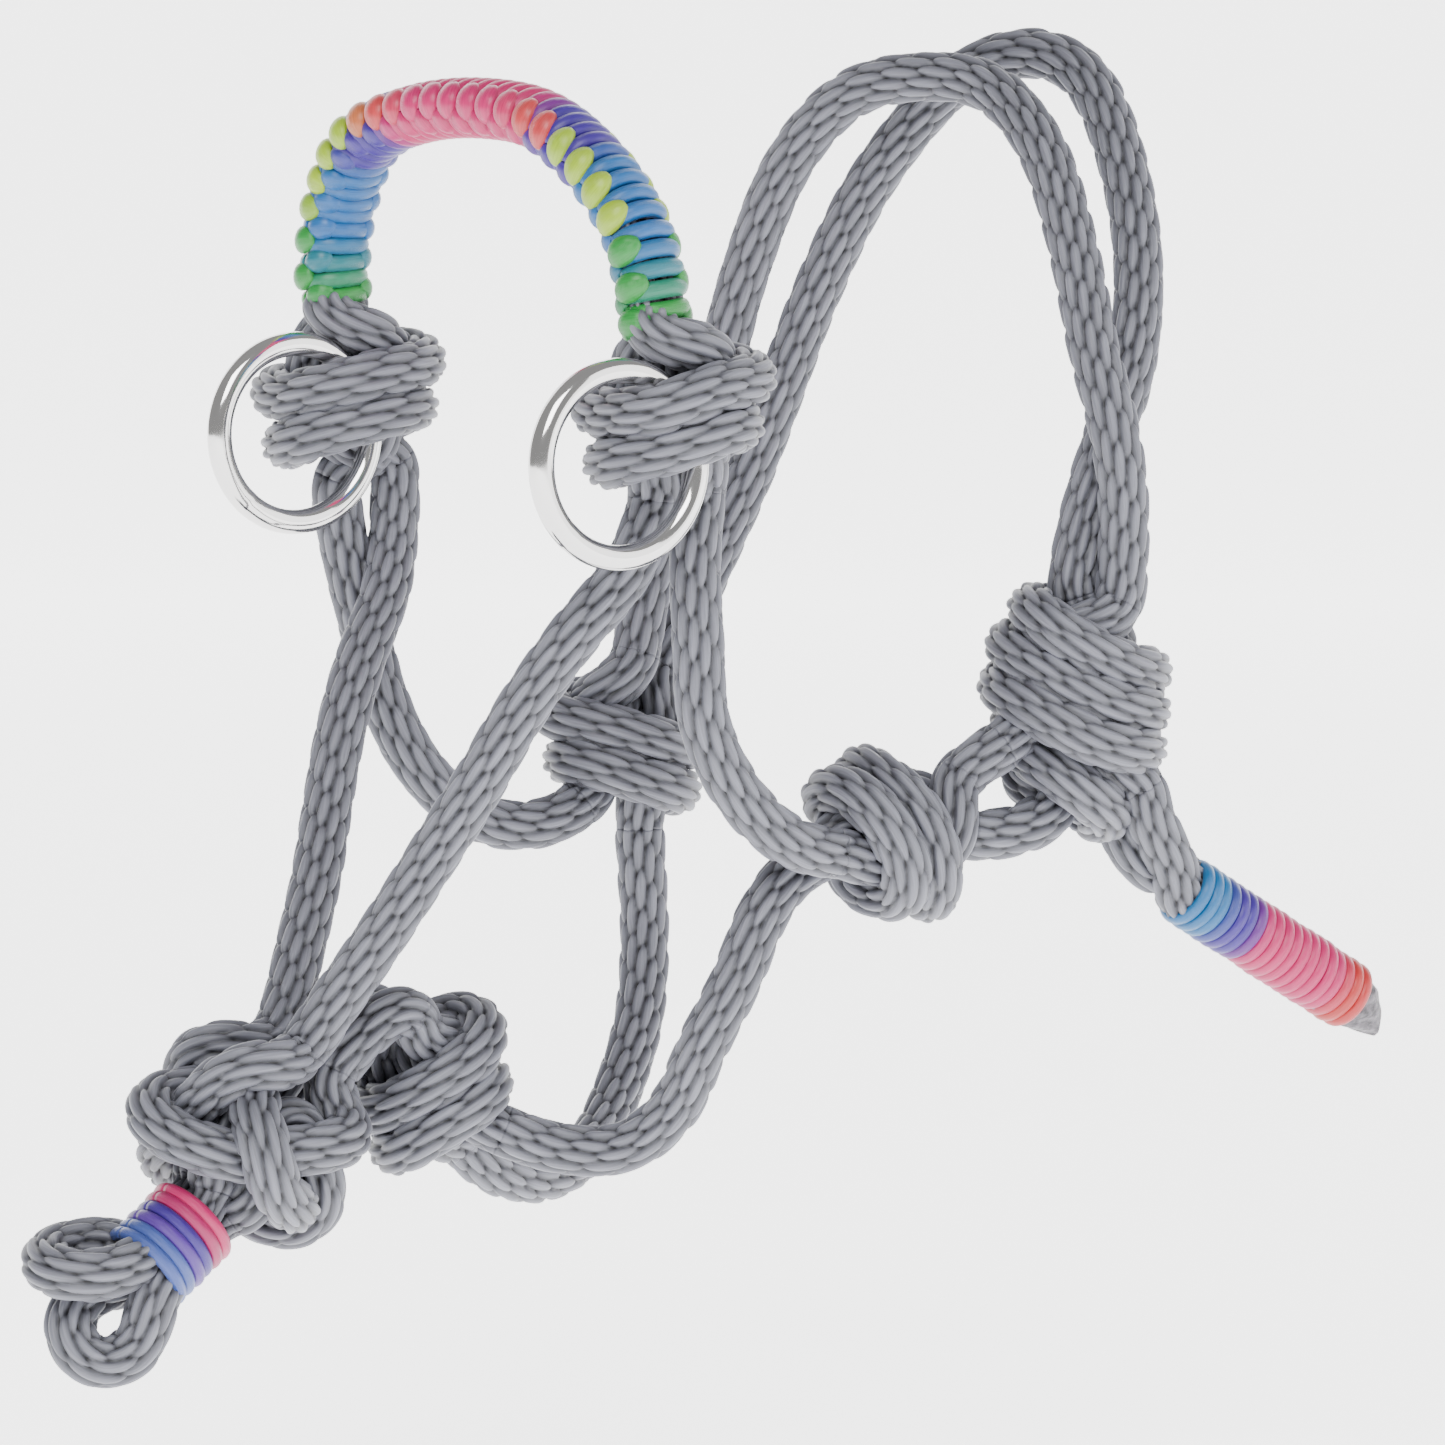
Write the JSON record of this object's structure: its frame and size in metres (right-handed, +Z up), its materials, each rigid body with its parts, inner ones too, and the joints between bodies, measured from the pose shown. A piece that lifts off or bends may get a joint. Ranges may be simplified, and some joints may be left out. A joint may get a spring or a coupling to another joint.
{
  "type": "rope halter",
  "caption": "Knotted rope halter for a hobby horse: crown, cheek pieces, woven noseband with two rings, throat latch, fiador knot and lead loop.",
  "frame": {"origin": "where the crown of the halter rests on the poll, between the ears, on the middle plane", "axes": "-X towards the nose, +X towards the neck, -Y the near (left) side with the crown tie, +Z up"},
  "size_m": [0.231, 0.119, 0.2128],
  "materials": {
    "halter_rope": "satin multifilament solid-braid rope",
    "noseband_cord": "satin cord, rainbow dyed",
    "whipping_cord": "satin cord, rainbow dyed",
    "ring_steel": "polished stainless steel",
    "melted_end": "melted rope fibre, semi-matte"
  },
  "bodies": {
    "root": {"noseband_core_front": "halter_rope", "noseband_core_back": "halter_rope", "noseband_weave": "noseband_cord", "near_nose_knot": "halter_rope", "far_nose_knot": "halter_rope", "near_cheek_piece": "halter_rope", "far_cheek_piece": "halter_rope", "near_chin_strap": "halter_rope", "far_chin_strap": "halter_rope", "near_cheek_knot": "halter_rope", "far_cheek_knot": "halter_rope", "near_throat_latch": "halter_rope", "far_throat_latch": "halter_rope", "throat_knot": "halter_rope", "fiador_link_near": "halter_rope", "fiador_link_far": "halter_rope", "fiador_knot": "halter_rope", "crown_strand_front": "halter_rope", "crown_strand_back": "halter_rope", "tie_loop_upper": "halter_rope", "tie_loop_lower": "halter_rope", "tie_knot": "halter_rope"},
    "near_ring": {"near_ring": "ring_steel"},
    "far_ring": {"far_ring": "ring_steel"},
    "lead_loop": {"lead_loop_whipping": "whipping_cord", "lead_loop_neck": "halter_rope", "lead_loop_upper": "halter_rope", "lead_loop_lower": "halter_rope"},
    "tail": {"crown_tail_front": "halter_rope", "crown_tail_back": "halter_rope", "tail_core": "halter_rope", "tail_whipping": "whipping_cord", "tail_tip": "melted_end"}
  },
  "joints": [
    {"name": "near_ring_swing", "type": "hinge", "parent": "root", "child": "near_ring", "pos_m": [-0.098, -0.051, -0.051], "axis": [-0.5408, 0, 0.8412], "range_deg": [0, 60]},
    {"name": "far_ring_swing", "type": "hinge", "parent": "root", "child": "far_ring", "pos_m": [-0.099, 0.041, -0.049], "axis": [-0.5408, 0, 0.8412], "range_deg": [0, 60]},
    {"name": "lead_loop_bend", "type": "hinge", "parent": "root", "child": "lead_loop", "pos_m": [-0.156, 0, -0.178], "axis": [0, 1, 0], "range_deg": [-20, 20], "stiffness_Nm_per_rad": 0.1},
    {"name": "tail_bend", "type": "hinge", "parent": "root", "child": "tail", "pos_m": [-0.006, -0.044, -0.112], "axis": [0, 1, 0], "range_deg": [-20, 20], "stiffness_Nm_per_rad": 0.1}
  ]
}
